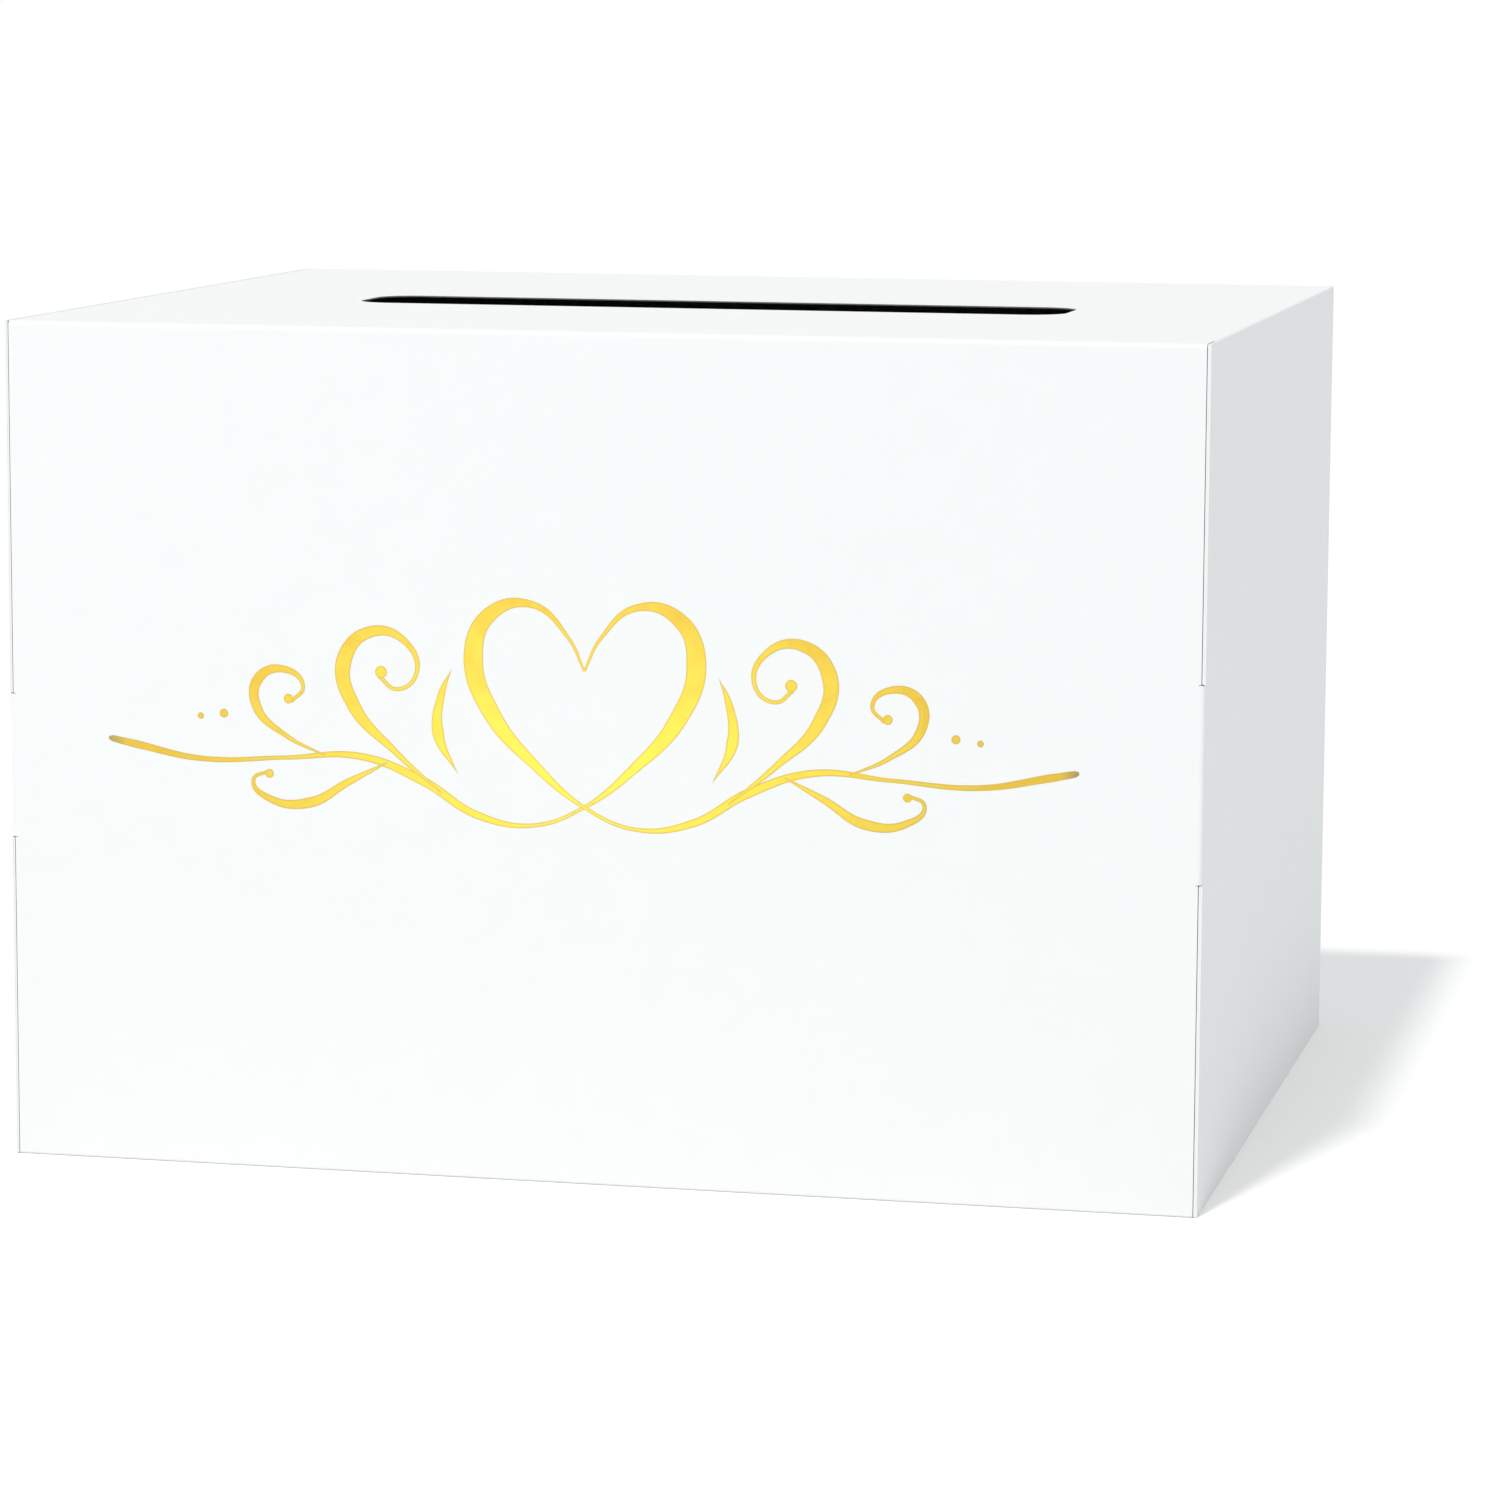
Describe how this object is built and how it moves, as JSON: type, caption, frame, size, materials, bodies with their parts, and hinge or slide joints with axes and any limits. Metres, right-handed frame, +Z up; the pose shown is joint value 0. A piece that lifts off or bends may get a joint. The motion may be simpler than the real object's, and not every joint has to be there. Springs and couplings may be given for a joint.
{
  "type": "wedding card box",
  "caption": "White folded board box with a long card slot in its top, locked double side walls and a back lid that opens on a crease, for collecting envelopes.",
  "frame": {"origin": "middle of the box's footprint, on the surface it stands on", "axes": "+X to the right seen from the front, -Y out of the front, +Z up"},
  "size_m": [0.3, 0.25, 0.21],
  "materials": {
    "white_board": "coated white outside, smooth and slightly satin, grey uncoated back",
    "inner_board": "same sheet seen from its uncoated grey back",
    "gold_foil": "hot-stamped yellow gold foil, glossy, a few hundredths of a millimetre thick"
  },
  "bodies": {
    "case": {"front_panel": "white_board", "top_panel": "white_board", "bottom_panel": "white_board", "left_side_wall": "white_board", "right_side_wall": "white_board", "left_rolled_edge": "white_board", "right_rolled_edge": "white_board", "left_inner_wall": "inner_board", "right_inner_wall": "inner_board", "top_left_dust_flap": "inner_board", "top_right_dust_flap": "inner_board", "bottom_left_dust_flap": "inner_board", "bottom_right_dust_flap": "inner_board"},
    "lid": {"back_lid": "white_board"},
    "tuck_flap": {"tuck_flap": "inner_board"},
    "left_ear": {"left_lid_ear": "inner_board"},
    "right_ear": {"right_lid_ear": "inner_board"}
  },
  "joints": [
    {"name": "lid_hinge", "type": "hinge", "parent": "case", "child": "lid", "pos_m": [0, 0.1248, 0.2098], "axis": [1, 0, 0], "range_deg": [0, 120]},
    {"name": "tuck_fold", "type": "hinge", "parent": "lid", "child": "tuck_flap", "pos_m": [0, 0.1246, 0.0011], "axis": [-1, 0, 0], "range_deg": [0, 80]},
    {"name": "left_ear_fold", "type": "hinge", "parent": "lid", "child": "left_ear", "pos_m": [-0.1478, 0.1246, 0.11705], "axis": [0, 0, 1], "range_deg": [0, 85]},
    {"name": "right_ear_fold", "type": "hinge", "parent": "lid", "child": "right_ear", "pos_m": [0.1478, 0.1246, 0.11705], "axis": [0, 0, -1], "range_deg": [0, 85]}
  ]
}
